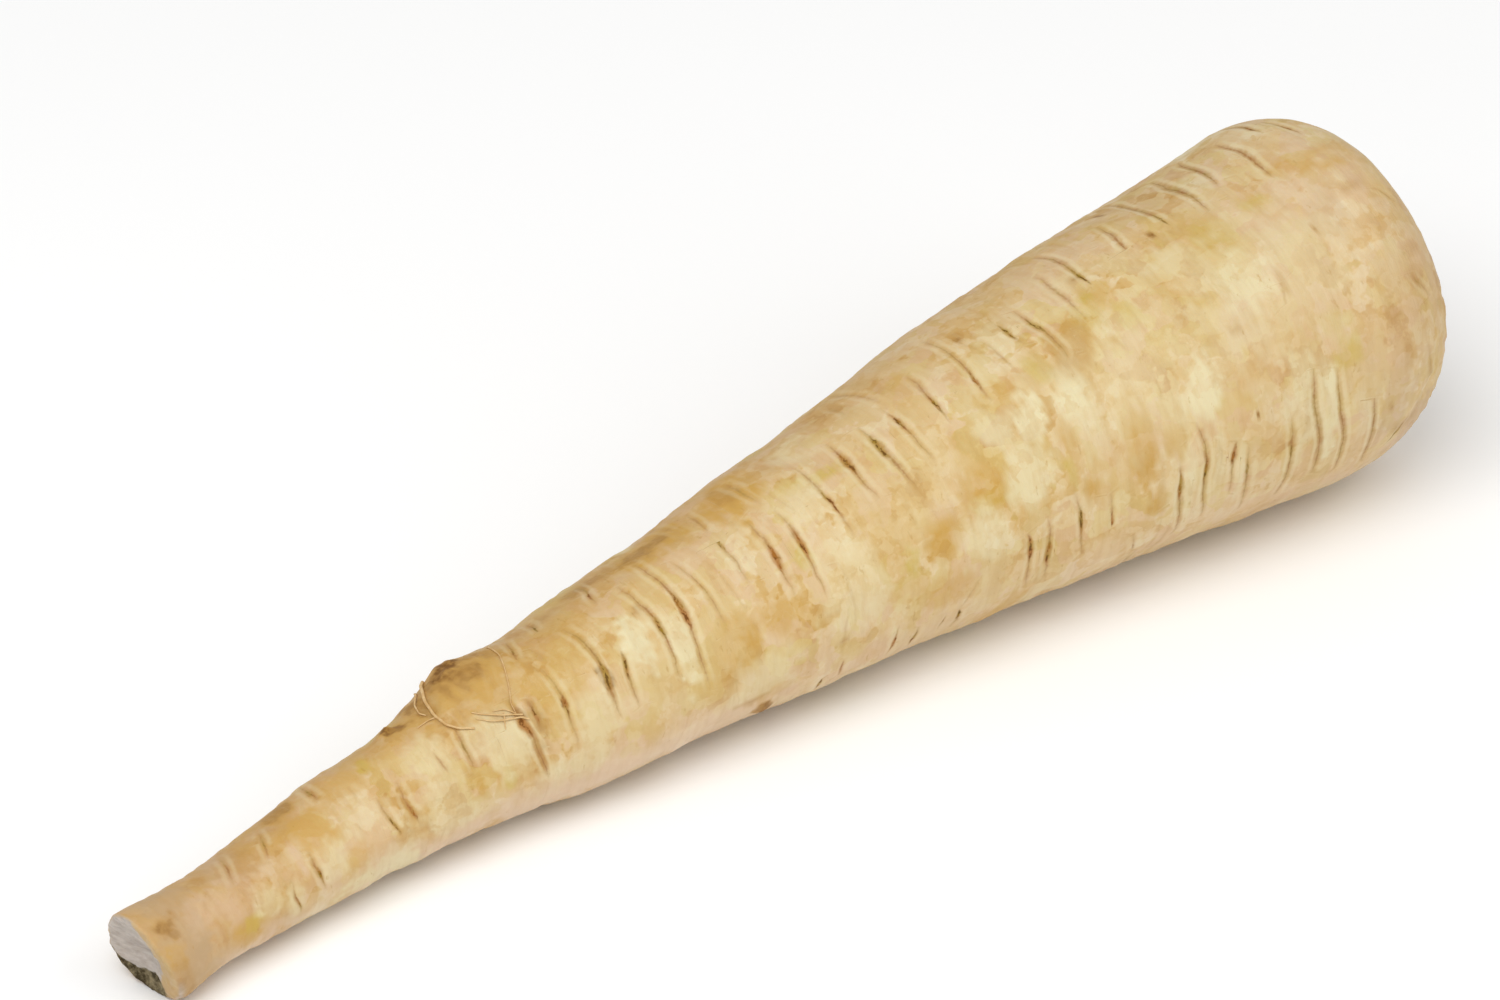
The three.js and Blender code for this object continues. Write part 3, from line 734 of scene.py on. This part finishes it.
# The skin's real form
class Places:
    """Where each vertex of the cage lies: its region, its distance from the tip, its radius and its angle."""

    def __init__(self, cage):
        x = cage[:, 0]
        self.count = len(x)
        self.wide = np.hypot(cage[:, 1], cage[:, 2])
        self.clock = np.degrees(np.arctan2(cage[:, 2], cage[:, 1])) % 360
        self.on_face = x < 0.3
        self.on_crown = (x > SHOULDER_FROM) & (self.wide < RIM_RADIUS - 0.01)
        self.on_shoulder = (x > SHOULDER_FROM + 0.001) & ~self.on_crown
        self.on_flank = ~(self.on_face | self.on_crown | self.on_shoulder)
        self.outer = self.on_flank | self.on_shoulder
        self.s = np.where(self.on_face, 0, np.minimum(x, LENGTH))
        self.face_share = self.wide / TIP_RADIUS
        # How far round the shoulder's quarter circle, as an angle and as a share of it
        rise = (x - SHOULDER_FROM) / SHOULDER_DEPTH
        run = (self.wide - RIM_RADIUS) / (WIDEST - RIM_RADIUS)
        self.angle = np.clip(np.arctan2(rise, run), 0, math.pi / 2)
        self.turn = self.angle / (math.pi / 2)
        self.place = np.where(self.on_shoulder, SHOULDER_FROM + SHOULDER_DEPTH * np.sin(self.angle), self.s)
        self.radius = np.where(self.on_shoulder, self.shoulder_radius(), flank_radius(self.s, self.clock))

    def shoulder_radius(self):
        start = np.full(self.count, float(SHOULDER_FROM))
        shoulder_s = SHOULDER_FROM + SHOULDER_DEPTH * np.sin(self.angle)
        uneven = WIDEST * wave_share(start, self.clock) + swell_height(shoulder_s, self.clock)
        return RIM_RADIUS + (WIDEST - RIM_RADIUS) * np.cos(self.angle) + uneven * (1 - self.turn)

    def outward(self):
        """The direction in which the skin faces."""
        lean = np.where(self.on_shoulder, self.turn, 0) * math.pi / 2
        up = radians(self.clock)
        return np.stack([np.sin(lean), np.cos(lean) * np.cos(up), np.cos(lean) * np.sin(up)], -1)


def place_flank(at, points):
    k = at.on_flank
    x = at.s + cut_shift(at.s, at.clock, 1)
    points[k] = placed(x[k], at.s[k], at.radius[k], at.clock[k])


def place_shoulder(at, points):
    k = at.on_shoulder
    x = at.place + rim_wave(at.clock) * smoothstep(at.turn, 0.3, 1)
    points[k] = placed(x[k], at.place[k], at.radius[k], at.clock[k])


def place_crown(at, points):
    k = at.on_crown
    drop, scallop = eased(CROWN, at.wide)
    lobe = lobe_wave(at.wide, at.clock)
    near_rim = smoothstep(at.wide, CROWN[9][0], RIM_RADIUS)
    x = LENGTH - drop + scallop * lobe + rim_wave(at.clock) * near_rim
    radius = at.wide * (1 + 0.05 * scallop * lobe)
    points[k] = placed(x[k], np.full(k.sum(), float(LENGTH)), radius[k], at.clock[k])


def place_face(at, points):
    k = at.on_face
    start = np.zeros(at.count)
    depth, = eased(CUT_FACE, at.face_share)
    radius = at.face_share * TIP_RADIUS * (1 + wave_share(start, at.clock))
    x = depth + cut_shift(start, at.clock, at.face_share)
    points[k] = placed(x[k], np.zeros(k.sum()), radius[k], at.clock[k])


def roughen_skin(at, points):
    """Adds lumps, wrinkles, creases and scabs to the flank and the shoulder.

    Returns the crease fields, with their strengths faded out towards both ends.
    """
    relief, across, line, tear = crease_fields(at.place, at.clock, np.maximum(at.radius, 5), points)
    fade = smoothstep(at.place, 0.5, 6) * (1 - smoothstep(at.turn * at.on_shoulder, 0.75, 1))
    calm = 1 - 0.6 * smoothstep(at.place, 190, 225)
    fine_lumps = (0.14 * grain(points, 5, 7.7) + 0.06 * grain(points, 2, 4.4)) * calm
    lumps = 0.30 * grain(points, 14, 2.2) + fine_lumps
    wrinkles = 0.05 * grain(points, 1.6, 9.1, stretch=(1, 0.22, 0.22))
    height = (lumps + wrinkles + relief) * fade + bump_height(at.place, at.clock, at.radius, points)
    points[at.outer] += at.outward()[at.outer] * height[at.outer, None]
    return across, line * fade, tear * fade


def roughen_crown(at, points):
    height = 0.18 * grain(points, 1.4, 3.3) + 0.1 * grain(points, 0.6, 1.3)
    points[at.on_crown, 0] += (height * smoothstep(RIM_RADIUS - at.wide, 0, 3))[at.on_crown]


def roughen_face(at, points):
    """Gives the cut face its fibres and its sunken, broken edge, and returns the mask of that edge."""
    ragged = 0.07 * grain(points, 2.2, 5.5)
    widening = np.clip(1 - np.abs(clock_gap(at.clock, ROT_WIDEST)) / (ROT_TO - ROT_WIDEST), 0, 1)
    inner_edge = ROT_NARROW_SHARE + (ROT_WIDE_SHARE - ROT_NARROW_SHARE) * smoothstep(widening, 0, 1)
    rot = smoothstep(at.face_share - inner_edge + ragged, -0.04, 0.05) * at.on_face
    starts = smoothstep(at.clock + 60 * ragged, ROT_FROM - 5, ROT_FROM + 5)
    rot *= starts * (1 - smoothstep(at.clock, ROT_TO - 12, ROT_TO))
    fibres = 0.16 * grain(points, 1.2, 6.6) + 0.08 * grain(points, 0.5, 2.6)
    sunken = ROT_DEPTH * rot * smoothstep(1 - at.face_share, 0, 0.25)
    points[at.on_face, 0] += (sunken - fibres)[at.on_face]
    return rot


def raise_lip(at, points):
    """Draws one side of the cut edge out into a low lip."""
    near_lip = np.clip(np.cos(radians(at.clock - LIP_SIDE)), 0, 1) ** 2
    on_skin = np.where(at.on_flank, np.maximum(0, 1 - at.s / 5) ** 2, 0)
    reach = np.where(at.on_face, smoothstep(at.face_share, 0.3, 0.9), on_skin)
    points[:, 0] -= LIP_HEIGHT * near_lip * reach


def flesh_mask(at, points):
    """Where bare flesh shows: on the cut face as far as the skin wraps over it, and on one worn edge."""
    wrap = smoothstep(np.cos(radians(at.clock - WRAP_SIDE)), -0.1, 0.75)
    wrapped = 0.97 - (0.97 - WRAP_SHARE) * wrap
    wrapped += 0.05 * grain(points, 1.5, 8.8)
    worn = smoothstep(np.cos(radians(at.clock - BARE_SIDE)), 0.6, 0.95)
    bare_rim = 0.7 * worn * (1 - smoothstep(at.s, 0.6, 2.2))
    on_face = 1 - smoothstep(at.face_share, wrapped - 0.05, wrapped + 0.05)
    return np.where(at.on_face, on_face, bare_rim * at.on_flank)


def paint(root, name, values):
    """Stores one value for each vertex, which the material reads by name."""
    layer = root.data.attributes.new(name, "FLOAT", "POINT")
    layer.data.foreach_set("value", values.astype(np.float32))


def paint_masks(root, at, points, crease_masks, rot):
    for kind, mask in patch_masks(at.place, at.clock, at.radius, points).items():
        # On the cut face every patch is cleared except painted shade, laid at 0.7
        paint(root, kind, np.where(at.on_face, 0.7 * (kind == "shade"), mask * at.outer))
    across, line, tear = crease_masks
    paint(root, "across", across)
    paint(root, "crease", line * at.outer)
    paint(root, "tear", tear * at.outer)
    paint(root, "crown", np.where(at.on_crown, 1 - smoothstep(at.wide, 12.5, 17), 0))
    paint(root, "stub", np.where(at.on_crown, 1 - smoothstep(at.wide, 7.2, 8.4), 0))
    paint(root, "flesh", flesh_mask(at, points))
    # Tan skin and painted shadow, at the tip and along the upper far side
    paint(root, "tan_and_shadow", tan_and_shadow_share(at.place, at.clock) * at.outer + np.where(at.on_face, 0.2, 0))
    # Pale pink skin and painted bounce light, low on the side that shows
    paint(root, "pink_and_bounce_light", pink_and_bounce_light(at.place, at.clock) * at.outer)
    paint(root, "rot", rot)


def shape_root(root):
    """Moves the cage onto the root's real form, region by region, and paints its masks."""
    cage = np.zeros(len(root.data.vertices) * 3)
    root.data.vertices.foreach_get("co", cage)
    at = Places(cage.reshape(-1, 3) / MM)
    points = np.zeros((at.count, 3))
    for place in (place_flank, place_shoulder, place_crown, place_face):
        place(at, points)
    crease_masks = roughen_skin(at, points)
    roughen_crown(at, points)
    rot = roughen_face(at, points)
    raise_lip(at, points)
    points[:, 2] = np.maximum(points[:, 2], 0)
    root.data.vertices.foreach_set("co", (points * MM).astype(np.float32).ravel())
    root.data.update()
    paint_masks(root, at, points, crease_masks, rot)


# Materials
class Nodes:
    """Short names for building a material's node tree."""

    def __init__(self, name):
        self.material = bpy.data.materials.new(name)
        self.material.use_nodes = True
        self.tree = self.material.node_tree
        self.shader = self.tree.nodes["Principled BSDF"]
        self.place = self.new("TexCoord").outputs["Object"]

    def new(self, kind):
        return self.tree.nodes.new("ShaderNode" + kind)

    def link(self, source, target):
        self.tree.links.new(source, target)

    def mapped(self, scale):
        node = self.new("Mapping")
        node.inputs["Scale"].default_value = scale
        self.link(self.place, node.inputs["Vector"])
        return node.outputs["Vector"]

    def noise(self, scale, detail=3, roughness=0.55, stretch=None):
        node = self.new("TexNoise")
        node.inputs["Scale"].default_value = scale
        node.inputs["Detail"].default_value = detail
        node.inputs["Roughness"].default_value = roughness
        self.link(self.mapped(stretch) if stretch else self.place, node.inputs["Vector"])
        return node.outputs["Fac"]

    def streaks(self, detail, stretch):
        """Noise stretched by a different amount along each axis."""
        return self.noise(1, detail, 0.6, stretch)

    def cells(self, scale, warp, warp_scale):
        """Irregular patches, each with three random values: cells whose borders noise has pushed about."""
        push = self.new("TexNoise")
        push.inputs["Scale"].default_value = warp_scale
        push.inputs["Detail"].default_value = 3
        self.link(self.place, push.inputs["Vector"])
        centred = self.new("VectorMath")
        centred.operation = "SUBTRACT"
        centred.inputs[1].default_value = (0.5, 0.5, 0.5)
        self.link(push.outputs["Color"], centred.inputs[0])
        moved = self.new("VectorMath")
        moved.operation = "MULTIPLY_ADD"
        moved.inputs[1].default_value = (warp, warp, warp)
        self.link(centred.outputs["Vector"], moved.inputs[0])
        self.link(self.place, moved.inputs[2])
        node = self.new("TexVoronoi")
        node.feature = "SMOOTH_F1"
        node.inputs["Smoothness"].default_value = 0.25
        node.inputs["Scale"].default_value = scale
        self.link(moved.outputs["Vector"], node.inputs["Vector"])
        parts = self.new("SeparateColor")
        self.link(node.outputs["Color"], parts.inputs["Color"])
        return parts.outputs

    def mask(self, name):
        node = self.new("Attribute")
        node.attribute_name = name
        return node.outputs["Fac"]

    def ramp(self, source, *stops):
        """A colour ramp; each stop is a position and a grey or a colour."""
        node = self.new("ValToRGB")
        self.link(source, node.inputs["Fac"])
        elements = node.color_ramp.elements
        while len(elements) < len(stops):
            elements.new(0.5)
        for element, (position, value) in zip(elements, stops):
            element.position = position
            element.color = (value, value, value, 1) if isinstance(value, (int, float)) else (*value, 1)
        return node.outputs["Color"]

    def fall(self, value, near, far):
        """1 up to near, 0 from far on, and a smooth slope between."""
        node = self.new("MapRange")
        node.interpolation_type = "SMOOTHSTEP"
        for name, number in (("From Min", near), ("From Max", far), ("To Min", 1), ("To Max", 0)):
            node.inputs[name].default_value = number
        self.link(value, node.inputs["Value"])
        return node.outputs["Result"]

    def math(self, operation, *values, clamp=False):
        node = self.new("Math")
        node.operation = operation
        node.use_clamp = clamp
        for socket, value in zip(node.inputs, values):
            if isinstance(value, (int, float)):
                socket.default_value = value
            else:
                self.link(value, socket)
        return node.outputs["Value"]

    def times(self, *values):
        """The product of several values, kept between 0 and 1."""
        product = values[0]
        for value in values[1:]:
            product = self.math("MULTIPLY", product, value, clamp=True)
        return product

    def blend(self, *parts):
        """The sum of several values, each with its weight."""
        total = 0.0
        for weight, value in parts:
            total = self.math("MULTIPLY_ADD", value, weight, total)
        return total

    def mix(self, amount, under, over):
        node = self.new("Mix")
        node.data_type = "RGBA"
        for name, value in (("Factor", amount), ("A", under), ("B", over)):
            socket = next(i for i in node.inputs if i.name == name and i.enabled)
            if isinstance(value, (int, float)):
                socket.default_value = value
            elif isinstance(value, tuple):
                socket.default_value = (*value, 1)
            else:
                self.link(value, socket)
        return next(o for o in node.outputs if o.enabled)

    def between(self, amount, tints):
        """From the first colour to the second as amount goes from 0 to 1."""
        return self.mix(amount, linear(tints[0]), linear(tints[1]))


def linear(colour):
    """A colour of 0 to 255 as the linear values that a shader takes."""
    return tuple(((c / 255 + 0.055) / 1.055) ** 2.4 * LIT for c in colour)


def cream_skin(n):
    """Cream to tan in soft clouds, with small flat patches that have clear edges, some pink, some green."""
    small_cells = n.cells(210, 0.016, 170)
    tone = n.blend((0.54, n.noise(64, 4, 0.58)), (0.21, small_cells[0]),
                   (0.11, n.cells(430, 0.008, 380)[0]), (0.14, n.noise(260, 2)))
    colour = n.ramp(tone, *((position, linear(tint)) for position, tint in CREAM))
    rosy = n.ramp(n.blend((0.6, n.noise(62, 4, 0.6)), (0.4, small_cells[1])), (0.49, 0), (0.62, 1))
    colour = n.mix(n.times(rosy, 0.5), colour, linear(ROSY_SKIN))
    greenish = n.ramp(n.blend((0.55, n.noise(48, 3, 0.6)), (0.45, small_cells[2])), (0.52, 0), (0.62, 1))
    return n.mix(n.times(greenish, 0.4), colour, linear(GREENISH_SKIN))


def blotches(n, colour):
    """Lays each kind of painted patch over the skin, broken up by small patches of its own."""
    breaks = n.blend((0.32, n.cells(330, 0.009, 260)[0]), (0.68, n.noise(190, 3, 0.6)))
    edge = n.ramp(breaks, (0.34, 0.55), (0.54, 1.0))
    soft_edge = n.math("MULTIPLY_ADD", edge, 0.35, 0.65, clamp=True)
    # The shade wash laid here is painted shade; the tan and pink washes are partly painted shadow and painted
    # bounce light
    for name, amount, tint in PATCH_TINTS:
        cover = n.times(n.mask(name), amount, soft_edge if name in WASHES else edge)
        colour = n.mix(cover, colour, linear(tint))
    middle = n.ramp(n.mask("brown"), (0.35, 0), (0.9, 0.9))
    speckle = n.ramp(n.noise(700, 2), (0.36, 0.3), (0.54, 1))
    return n.mix(n.times(middle, speckle, edge), colour, linear(DARK_MIDDLE))


def streaked(n, colour):
    """Adds fine tan streaks and flecks that run round the root."""
    striae = n.ramp(n.streaks(3, (620, 90, 90)), (0.46, 0), (0.70, 1))
    colour = n.mix(n.times(striae, 0.18), colour, linear(STREAK))
    flecks = n.ramp(n.streaks(3, (900, 420, 420)), (0.66, 0), (0.74, 1))
    return n.mix(n.times(flecks, 0.4), colour, linear(FLECK))


def band(n, size, strength, growth, least, near):
    """1 in the middle of a crease, falling to 0 at a width that grows with its strength."""
    width = n.math("MULTIPLY_ADD", strength, growth, least)
    return n.fall(n.math("DIVIDE", size, width), near, 1.0)


def crease_lines(n, colour, size, rust):
    """Draws each crease as a soft tan groove with a painted highlight on the raised lip on both sides and a
    fine dark line in it.
    """
    crease, tear = n.mask("crease"), n.mask("tear")
    lip_highlight = n.fall(n.math("ABSOLUTE", n.math("SUBTRACT", size, 1.0)), 0.1, 0.6)
    colour = n.mix(n.times(lip_highlight, crease, 0.4), colour, linear(CREASE_LIP_HIGHLIGHT))
    broken = n.ramp(n.noise(1300, 2, 0.6), (0.34, 0.55), (0.6, 1))
    groove = n.times(band(n, size, crease, 0.55, 0.3, 0.05), crease)
    colour = n.mix(n.times(groove, n.times(broken, 0.7)), colour, n.between(rust, CREASE_GROOVE))
    tail = n.math("POWER", tear, 0.45, clamp=True)
    run = n.math("MAXIMUM", n.ramp(tail, (0.35, 0), (0.85, 0.85)), n.ramp(crease, (0.3, 0), (1.0, 0.65)),
                 clamp=True)
    thin = n.times(band(n, size, tail, 0.2, 0.18, 0.2), run, broken)
    return n.mix(thin, colour, n.between(rust, CREASE_LINE)), groove


def crease_tears(n, colour, size, rust):
    """Darkens the torn stretch of each crease, in ragged dashes with a tan stain round them."""
    tear = n.mask("tear")
    halo = n.times(band(n, size, tear, 0.7, 0.2, 0.2), n.ramp(tear, (0.05, 0), (0.8, 0.7)))
    colour = n.mix(halo, colour, n.between(rust, CREASE_HALO))
    ragged = n.ramp(n.noise(760, 2, 0.6), (0.36, 0.25), (0.64, 1))
    width = n.math("MULTIPLY", n.math("MULTIPLY_ADD", tear, 0.36, 0.2), ragged)
    torn = n.fall(n.math("DIVIDE", size, width), 0.25, 1.0)
    dashes = n.ramp(n.streaks(2, (1700, 950, 950)), (0.43, 0.08), (0.52, 1))
    torn = n.times(torn, n.ramp(tear, (0.15, 0), (0.6, 1)), dashes)
    colour = n.mix(torn, colour, n.between(rust, CREASE_TORN))
    flecks = n.times(torn, n.ramp(n.noise(820, 1), (0.5, 0), (0.6, 0.55)))
    return n.mix(flecks, colour, n.between(rust, CREASE_FLECK)), torn


def ends(n, colour):
    """The sunken crown with its trimmed stub, and the fibrous flesh and dark rot of the cut tip."""
    crown = n.between(n.ramp(n.noise(420, 4), (0.35, 0), (0.65, 1)), CROWN_SKIN)
    colour = n.mix(n.times(n.mask("crown"), 0.85), colour, crown)
    stub = n.between(n.ramp(n.noise(600, 4), (0.4, 0), (0.62, 1)), STALK_STUB)
    colour = n.mix(n.mask("stub"), colour, stub)
    flesh = n.between(n.ramp(n.streaks(4, (900, 420, 1500)), (0.32, 0), (0.72, 1)), CUT_FLESH)
    colour = n.mix(n.mask("flesh"), colour, flesh)
    rot = n.between(n.ramp(n.noise(700, 3, 0.6), (0.40, 0), (0.62, 1)), CUT_ROT)
    return n.mix(n.mask("rot"), colour, rot)


def add_sheen(n, torn):
    """Satin skin, duller where it is torn or rotten, that lets a little light in."""
    rough = n.ramp(n.noise(240, 3), (0.3, 0.5), (0.7, 0.66))
    rough = n.mix(n.math("MAXIMUM", torn, n.mask("rot"), clamp=True), rough, (0.9, 0.9, 0.9))
    n.link(rough, n.shader.inputs["Roughness"])
    n.shader.inputs["Specular IOR Level"].default_value = 0.3
    n.shader.inputs["Subsurface Weight"].default_value = 0.1
    n.shader.inputs["Subsurface Radius"].default_value = (1.0, 0.6, 0.3)
    n.shader.inputs["Subsurface Scale"].default_value = 0.003


def add_fine_relief(n, groove, torn):
    height = n.blend((0.2, n.noise(1300, 3, 0.6)), (0.25, n.streaks(3, (1500, 240, 240))),
                     (0.15, n.noise(420, 3)), (-0.12, groove), (-0.12, torn))
    bump = n.new("Bump")
    bump.inputs["Strength"].default_value = 0.55
    bump.inputs["Distance"].default_value = 0.0005
    n.link(height, bump.inputs["Height"])
    n.link(bump.outputs["Normal"], n.shader.inputs["Normal"])


def skin_material():
    n = Nodes("parsnip_skin")
    colour = streaked(n, blotches(n, cream_skin(n)))
    wobble = n.math("MULTIPLY_ADD", n.noise(900, 2), 0.4, -0.2)
    size = n.math("ABSOLUTE", n.math("ADD", n.mask("across"), wobble))
    rust = n.ramp(n.noise(240, 2), (0.42, 0), (0.58, 1))
    colour, groove = crease_lines(n, colour, size, rust)
    colour, torn = crease_tears(n, colour, size, rust)
    n.link(ends(n, colour), n.shader.inputs["Base Color"])
    add_sheen(n, torn)
    add_fine_relief(n, groove, torn)
    return n.material


def rootlet_material():
    n = Nodes("rootlet")
    tone = n.ramp(n.noise(900, 2), (0.35, 0), (0.65, 1))
    n.link(n.between(tone, ROOTLET_SKIN), n.shader.inputs["Base Color"])
    n.link(n.ramp(n.noise(1500, 2), (0.3, 0.5), (0.7, 0.7)), n.shader.inputs["Roughness"])
    return n.material


# The root
def build_root():
    loops = ring_loops()
    root = drawn_root(loops)
    refine(root, loops)
    close_end(root, 0, loops[0][1])
    close_end(root, LENGTH - CROWN[1][1], CROWN[1][0])
    shape_root(root)
    select_none()
    root.select_set(True)
    bpy.context.view_layer.objects.active = root
    bpy.ops.object.mode_set(mode="EDIT")
    bpy.ops.mesh.select_all(action="SELECT")
    bpy.ops.mesh.normals_make_consistent(inside=False)
    bpy.ops.object.mode_set(mode="OBJECT")
    bpy.ops.object.shade_smooth()
    root.data.materials.clear()
    root.data.materials.append(skin_material())
    return root


# The rootlets
def skin_point(root, s, clock, lift):
    """A point just above the skin at distance s and a clock angle, in metres."""
    s, clock = np.array([float(s)]), np.array([float(clock)])
    guess = Vector(placed(s, s, flank_radius(s, clock), clock)[0] * MM)
    _, place, normal, _ = root.closest_point_on_mesh(guess)
    return place + normal * lift * MM


def finer_route(route):
    """The route's points with even steps between them."""
    fine = [route[0]]
    for (s0, c0), (s1, c1) in zip(route, route[1:]):
        for k in range(1, ROOTLET_STEPS + 1):
            fine.append((s0 + (s1 - s0) * k / ROOTLET_STEPS, c0 + (c1 - c0) * k / ROOTLET_STEPS))
    return fine


def rootlet(root, number, thickness, route):
    """One hair-fine root that lies on the skin: a round curve, thinner towards its end."""
    curve = bpy.data.curves.new(f"rootlet_{number}", "CURVE")
    curve.dimensions = "3D"
    curve.bevel_depth = thickness / 2 * MM
    curve.bevel_resolution = 2
    curve.resolution_u = 8
    curve.use_fill_caps = True
    spline = curve.splines.new("NURBS")
    fine = finer_route(route)
    spline.points.add(len(fine) - 1)
    for turn, (point, (s, clock)) in enumerate(zip(spline.points, fine)):
        share = turn / (len(fine) - 1)
        lift = thickness * (0.35 + 0.5 * math.sin(math.pi * share))
        point.co = (*skin_point(root, s, clock, lift), 1)
        point.radius = 1 - 0.55 * share
    spline.use_endpoint_u = True
    spline.order_u = 4
    piece = bpy.data.objects.new(curve.name, curve)
    bpy.context.scene.collection.objects.link(piece)
    return piece


def build_rootlets(root):
    pieces = [rootlet(root, number, *row) for number, row in enumerate(ROOTLETS)]
    select_none()
    for piece in pieces:
        piece.select_set(True)
    bpy.context.view_layer.objects.active = pieces[0]
    bpy.ops.object.convert(target="MESH")
    bpy.ops.object.join()
    made = bpy.context.object
    made.name = "rootlets"
    bpy.ops.object.transform_apply(location=True, rotation=True, scale=True)
    bpy.ops.object.shade_smooth()
    made.data.materials.clear()
    made.data.materials.append(rootlet_material())
    return made


# The studio
def floor():
    select_none()
    bpy.ops.mesh.primitive_plane_add(size=FLOOR_SIZE, location=(0, 0, -FLOOR_DROP))
    plane = bpy.context.object
    plane.name = "studio_floor"
    n = Nodes("studio_floor")
    n.shader.inputs["Base Color"].default_value = FLOOR_COLOUR
    n.shader.inputs["Roughness"].default_value = 0.9
    plane.data.materials.append(n.material)


def lights():
    scene = bpy.context.scene
    scene.view_settings.view_transform = "Standard"
    world = bpy.data.worlds.new("studio")
    world.use_nodes = True
    sky = world.node_tree.nodes["Background"]
    sky.inputs["Color"].default_value = (1, 1, 1, 1)
    sky.inputs["Strength"].default_value = SKY_STRENGTH
    scene.world = world
    for name, location, size, energy in LIGHTS:
        lamp = bpy.data.lights.new(name, "AREA")
        lamp.shape = "SQUARE"
        lamp.size = size
        lamp.energy = energy
        holder = bpy.data.objects.new(name, lamp)
        holder.location = location
        holder.rotation_euler = (Vector((0, 0, 0)) - Vector(location)).to_track_quat("-Z", "Y").to_euler()
        scene.collection.objects.link(holder)


def camera():
    data = bpy.data.cameras.new("camera")
    data.sensor_width = SENSOR_WIDTH
    data.lens = SENSOR_WIDTH * CAMERA_DISTANCE / VIEW_WIDTH
    holder = bpy.data.objects.new("camera", data)
    azimuth, elevation = math.radians(CAMERA_AZIMUTH), math.radians(CAMERA_ELEVATION)
    level = math.cos(elevation)
    back = Vector((math.sin(azimuth) * level, -math.cos(azimuth) * level, math.sin(elevation)))
    holder.location = Vector(CAMERA_TARGET) + back * CAMERA_DISTANCE
    holder.rotation_euler = Euler((math.pi / 2 - elevation, 0, azimuth))
    bpy.context.scene.collection.objects.link(holder)
    bpy.context.scene.camera = holder


camera()
floor()
lights()

root = build_root()
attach(root, "root")
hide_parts("parsnip_root")

hairs = build_rootlets(root)
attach(hairs, "root")
